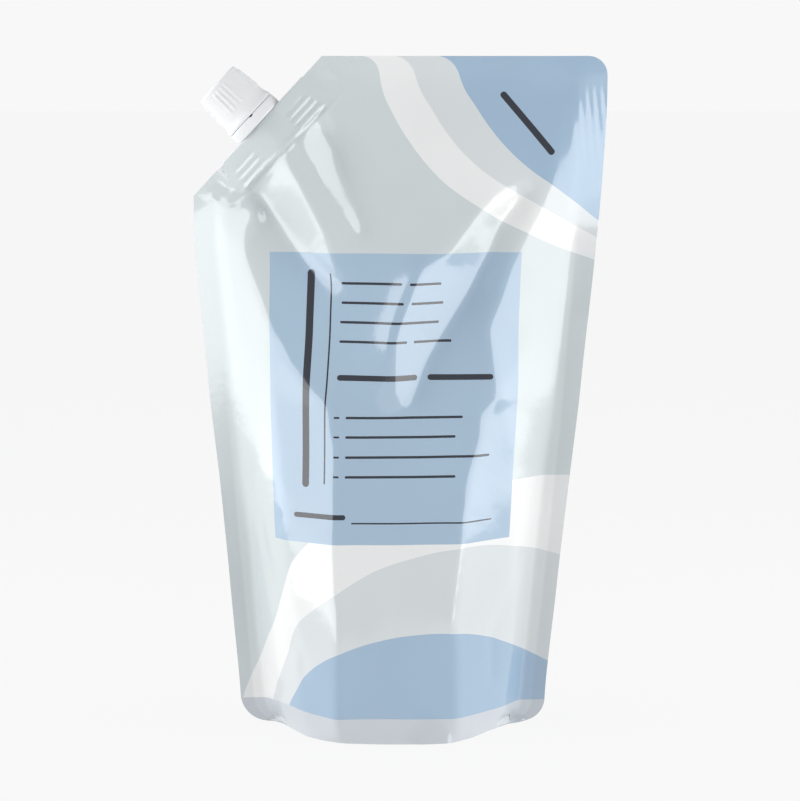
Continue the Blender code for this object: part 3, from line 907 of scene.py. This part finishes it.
def fillet(cx, cy, r, a0, a1, steps=5):
    return [(cx + r * math.cos(math.radians(a0 + (a1 - a0) * i / steps)),
             cy + r * math.sin(math.radians(a0 + (a1 - a0) * i / steps)))
            for i in range(steps + 1)]


def smooth01(x):
    x = min(1.0, max(0.0, x))
    return x * x * (3 - 2 * x)


def rib_shape(r, h, a):
    if 8.2 < h < 18.6 and r > 8.0:
        deg = (math.degrees(a) - 249.6) % 90.0
        near = min(abs(deg - 11.25 * k) for k in range(4))
        near = min(near, 90.0 - deg)
        if near < 4.3:
            across = 0.5 + 0.5 * math.cos(math.pi * near / 4.3)
            along = smooth01((h - 8.8) / 1.0) * smooth01((18.0 - h) / 0.9)
            r += 0.42 * across ** 0.8 * along
    return r, h


cap_profile = [(0.0, 18.55), (7.75, 18.55), (7.75, 6.75), (8.55, 5.95),
               (8.6, 4.25)]
cap_profile += fillet(8.75, 4.27, 0.12, 180, 270, 2)
cap_profile += fillet(9.62, 4.43, 0.28, -90, 0, 4)
cap_profile += [(9.90, 4.8), (9.88, 5.15), (9.74, 5.55), (9.52, 6.1),
                (9.34, 6.8), (9.22, 7.6), (9.16, 8.3)]
cap_profile += [(9.16 + (8.32 - 9.16) * t / 22.0, 8.3 + 10.1 * t / 22.0)
                for t in range(1, 23)]
cap_profile += fillet(7.50, 18.88, 0.82, 5, 90, 6)
cap_profile += [(6.9, 19.70), (6.6, 19.66), (6.35, 19.52), (6.1, 19.48),
                (3.0, 19.47), (0.0, 19.47)]
cap_piece = finish_piece(turned(cap_profile, 360, rib_shape), "screw_cap",
                         "cap", CAP_WHITE, "white_plastic", "cap")


def band_shape(r, h, a):
    across = abs(((math.degrees(a) + 86.5 + 180.0) % 360.0) - 180.0)
    if h > 2.6 and across < 4.5:
        h -= 0.45 * smooth01((4.5 - across) / 1.6) * smooth01((h - 2.6) / 1.2)
    return r, h


band_profile = [(7.62, 0.75), (7.62, 2.1), (8.35, 2.5), (8.35, 3.98)]
band_profile += fillet(9.50, 3.62, 0.45, 90, 0, 5)
band_profile += [(9.97, 2.9), (9.98, 2.0), (9.97, 1.2)]
band_profile += fillet(9.42, 0.75, 0.53, 0, -90, 5)
band_piece = finish_piece(turned(band_profile, 240, band_shape, True),
                          "tear_band", "band", BAND_WHITE, "white_plastic",
                          "tamper_band")


def base_plate():
    """The flat top of the welded base, between the two films."""
    bm = bmesh.new()
    count, rings = 72, []
    for n_at, grow in ((-0.5, 0.0), (0.14, 0.0), (0.24, -0.06), (0.28, -0.18)):
        ring = []
        for k in range(count):
            a = math.tau * (k + 0.5) / count
            e = (21.3 + grow) * math.cos(a)
            half = (canoe_half(abs(e)) - 0.42 + grow) * (1 if math.sin(a) > 0 else -1)
            ring.append(bm.verts.new((e, half, n_at)))
        rings.append(ring)
    for a, b in zip(rings, rings[1:]):
        for k in range(count):
            m = (k + 1) % count
            bm.faces.new((a[k], a[m], b[m], b[k]))
    bm.faces.new(rings[0])
    bm.faces.new(rings[-1])
    return bm


plate = finish_piece(base_plate(), "spout_base", "pack", NATURAL,
                     "natural_plastic")


# ------------------------------------------------- floor, light and camera
def plane(name, size):
    bm = bmesh.new()
    bmesh.ops.create_grid(bm, x_segments=8, y_segments=8, size=size)
    mesh = bpy.data.meshes.new(name)
    bm.to_mesh(mesh)
    bm.free()
    obj = bpy.data.objects.new(name, mesh)
    bpy.context.collection.objects.link(obj)
    return obj


BACKDROP = 0.9385
floor = plane("floor", 6.0)
floor.location.z = -0.0003
n = Nodes("floor_paper")
n.bsdf.inputs["Base Color"].default_value = (0.05, 0.05, 0.05, 1)
n.bsdf.inputs["Roughness"].default_value = 1.0
n.bsdf.inputs["Specular IOR Level"].default_value = 0.0
n.bsdf.inputs["Emission Color"].default_value = (1, 1, 1, 1)
n.bsdf.inputs["Emission Strength"].default_value = 0.895
floor.data.materials.append(n.mat)

world = bpy.data.worlds.new("studio")
bpy.context.scene.world = world
world.use_nodes = True
wt = world.node_tree
wt.nodes.clear()
out = wt.nodes.new("ShaderNodeOutputWorld")
mixer = wt.nodes.new("ShaderNodeMixShader")
path = wt.nodes.new("ShaderNodeLightPath")
seen = wt.nodes.new("ShaderNodeBackground")
fill = wt.nodes.new("ShaderNodeBackground")
seen.inputs[0].default_value = (1, 1, 1, 1)
seen.inputs[1].default_value = BACKDROP
fill.inputs[0].default_value = (0.97, 0.985, 1.0, 1)
fill.inputs[1].default_value = 0.52
wt.links.new(path.outputs["Is Camera Ray"], mixer.inputs[0])
wt.links.new(fill.outputs[0], mixer.inputs[1])
wt.links.new(seen.outputs[0], mixer.inputs[2])
wt.links.new(mixer.outputs[0], out.inputs[0])


def softbox(name, at, look, size_x, size_y, radiance):
    data = bpy.data.lights.new(name, "AREA")
    data.shape = "RECTANGLE"
    data.size, data.size_y = size_x, size_y
    data.energy = radiance * math.pi * size_x * size_y
    obj = bpy.data.objects.new(name, data)
    bpy.context.collection.objects.link(obj)
    obj.location = at
    d = Vector(look) - Vector(at)
    obj.rotation_euler = d.to_track_quat("-Z", "Y").to_euler()
    obj.visible_camera = False
    return obj


softbox("softbox_left", (-0.50, -0.10, 0.31), (0.0, -0.10, 0.31), 0.90, 0.61, 1.95)
softbox("softbox_right", (0.50, -0.10, 0.31), (0.0, -0.10, 0.31), 0.90, 0.61, 1.95)

S = U * 1000.0
cam_data = bpy.data.cameras.new("camera")
cam_data.sensor_width = 36.0
cam_data.lens = 3226.0 / 800.0 * 36.0
cam_data.clip_start = 0.05
cam = bpy.data.objects.new("camera", cam_data)
bpy.context.collection.objects.link(cam)
cam.location = Vector((0.0, -1.0918, 0.2452)) * S
target = Vector((0.0, 0.0, 0.1111)) * S
cam.rotation_euler = (target - cam.location).to_track_quat("-Z", "Y").to_euler()
scene = bpy.context.scene
scene.camera = cam
scene.view_settings.view_transform = "Standard"
scene.view_settings.look = "None"
scene.view_settings.exposure = 0.0
scene.view_settings.gamma = 1.0
